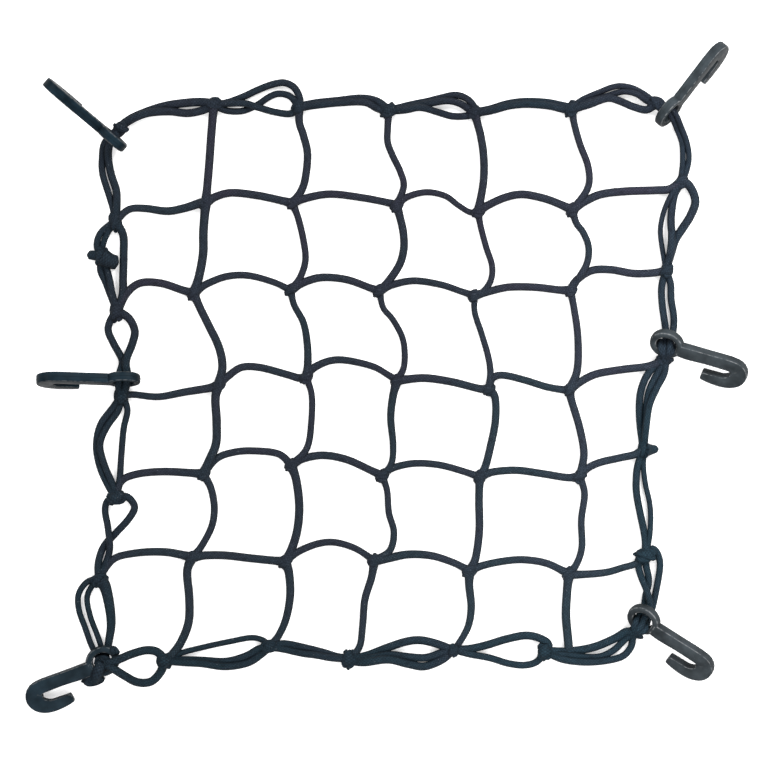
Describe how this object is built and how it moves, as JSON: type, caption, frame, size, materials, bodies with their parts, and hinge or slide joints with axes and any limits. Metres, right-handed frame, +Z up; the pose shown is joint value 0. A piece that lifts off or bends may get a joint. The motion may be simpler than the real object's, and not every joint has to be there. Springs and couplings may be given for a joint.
{
  "type": "cargo net",
  "caption": "Elastic cargo net laid flat: knotted cord cells, a doubled knotted rim and moulded plastic J hooks threaded on the rim.",
  "frame": {"origin": "on the floor, under the middle of the part's bounding box", "axes": "+Z up from the floor through the flat net, +X along its longer side, +Y up the net's shorter side"},
  "size_m": [0.4897, 0.4543, 0.0264],
  "materials": {
    "inner_cord": "braided textile sheath, charcoal",
    "rim_cord": "braided textile sheath, blue-black",
    "hook_plastic": "satin moulded plastic, dark slate"
  },
  "bodies": {
    "root": {"net_mesh": "inner_cord", "rim_cord": "rim_cord", "hook_tl": "hook_plastic", "hook_ml": "hook_plastic", "hook_bl": "hook_plastic", "hook_tr": "hook_plastic", "hook_mr": "hook_plastic", "hook_br": "hook_plastic"}
  },
  "joints": []
}
